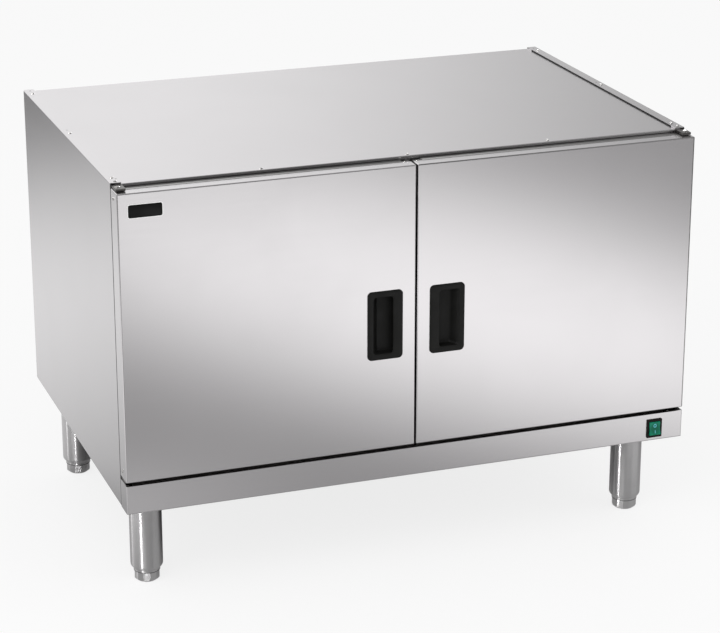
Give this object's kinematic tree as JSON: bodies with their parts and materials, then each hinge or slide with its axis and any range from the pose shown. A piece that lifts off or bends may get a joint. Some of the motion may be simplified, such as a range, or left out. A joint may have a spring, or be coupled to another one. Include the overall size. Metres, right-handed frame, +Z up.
{
  "type": "plate warmer cabinet",
  "caption": "Stainless hot cupboard on round legs, with hinged double doors, flush black handles, a wire shelf, and a slotted floor over a heating element.",
  "frame": {"origin": "on the floor, under the middle of the body, with the feet screwed in", "axes": "+Z up, +X to the right seen from the front, the doors face -Y"},
  "size_m": [0.9026, 0.6176, 0.6473],
  "materials": {
    "outer_stainless": "fine brushed grain",
    "inner_stainless": "plain mill finish",
    "leg_stainless": "polished tube",
    "bright_fixings": "bright zinc and stainless",
    "shelf_wire": "plated wire",
    "handle_black": "satin moulded",
    "badge_black": "printed plate",
    "switch_black": "moulded",
    "rocker_green": "translucent green",
    "nylon_white": "plain nylon",
    "ceramic_white": "glazed",
    "element_sheath": "heat-darkened sheath",
    "copper_alloy": "bright",
    "loom_sleeve": "woven sleeve",
    "gland_black": "moulded nylon"
  },
  "bodies": {
    "cabinet": {"left_side_panel": "outer_stainless", "right_side_panel": "outer_stainless", "top_panel": "outer_stainless", "rear_panel": "inner_stainless", "under_tray": "inner_stainless", "plinth_panel": "outer_stainless", "front_top_rail": "inner_stainless", "left_inner_liner": "inner_stainless", "right_inner_liner": "inner_stainless", "rear_inner_liner": "inner_stainless", "ceiling_liner": "inner_stainless", "top_stiffeners": "inner_stainless", "chamber_floor": "inner_stainless", "shelf": "shelf_wire", "shelf_runners": "inner_stainless", "magnetic_catches": "nylon_white", "left_top_hinge_plate": "bright_fixings", "right_top_hinge_plate": "bright_fixings", "left_bottom_hinge_bracket": "bright_fixings", "right_bottom_hinge_bracket": "bright_fixings", "hinge_pins": "bright_fixings", "cabinet_screws": "bright_fixings", "top_rivets": "bright_fixings", "front_left_leg": "leg_stainless", "front_right_leg": "leg_stainless", "rear_left_leg": "leg_stainless", "rear_right_leg": "leg_stainless", "leg_foot_inserts": "nylon_white", "leg_stiffening_plates": "inner_stainless", "leg_studs": "bright_fixings", "switch_housing": "switch_black", "heating_element": "element_sheath", "element_brackets": "inner_stainless", "heat_reflector": "inner_stainless", "thermostat_body": "gland_black", "thermostat_bulb": "copper_alloy", "cable_gland": "gland_black", "gland_locknut": "gland_black", "bonding_stud": "copper_alloy", "terminal_block": "ceramic_white", "wiring_looms": "loom_sleeve"},
    "left_door": {"left_door_outer_skin": "outer_stainless", "left_door_inner_panel": "inner_stainless", "left_door_hinge_blocks": "nylon_white", "left_door_rivets": "bright_fixings", "left_door_handle": "handle_black", "left_door_strike_plate": "bright_fixings", "badge_plate": "badge_black"},
    "right_door": {"right_door_outer_skin": "outer_stainless", "right_door_inner_panel": "inner_stainless", "right_door_hinge_blocks": "nylon_white", "right_door_rivets": "bright_fixings", "right_door_handle": "handle_black", "right_door_strike_plate": "bright_fixings"},
    "rocker": {"switch_rocker": "rocker_green"},
    "front_left_foot": {"front_left_foot": "leg_stainless"},
    "front_right_foot": {"front_right_foot": "leg_stainless"},
    "rear_left_foot": {"rear_left_foot": "leg_stainless"},
    "rear_right_foot": {"rear_right_foot": "leg_stainless"}
  },
  "joints": [
    {"name": "left_door_hinge", "type": "hinge", "parent": "cabinet", "child": "left_door", "pos_m": [-0.4438, -0.279, 0.4214], "axis": [0, 0, -1], "range_deg": [0, 120]},
    {"name": "right_door_hinge", "type": "hinge", "parent": "cabinet", "child": "right_door", "pos_m": [0.4438, -0.279, 0.4214], "axis": [0, 0, 1], "range_deg": [0, 120]},
    {"name": "switch_rocker_tilt", "type": "hinge", "parent": "cabinet", "child": "rocker", "pos_m": [0.4018, -0.301, 0.1709], "axis": [1, 0, 0], "range_deg": [0, 16]},
    {"name": "front_left_foot_thread", "type": "slide", "parent": "cabinet", "child": "front_left_foot", "axis": [0, 0, -1], "range_m": [0, 0.025]},
    {"name": "front_right_foot_thread", "type": "slide", "parent": "cabinet", "child": "front_right_foot", "axis": [0, 0, -1], "range_m": [0, 0.025]},
    {"name": "rear_left_foot_thread", "type": "slide", "parent": "cabinet", "child": "rear_left_foot", "axis": [0, 0, -1], "range_m": [0, 0.025]},
    {"name": "rear_right_foot_thread", "type": "slide", "parent": "cabinet", "child": "rear_right_foot", "axis": [0, 0, -1], "range_m": [0, 0.025]}
  ]
}
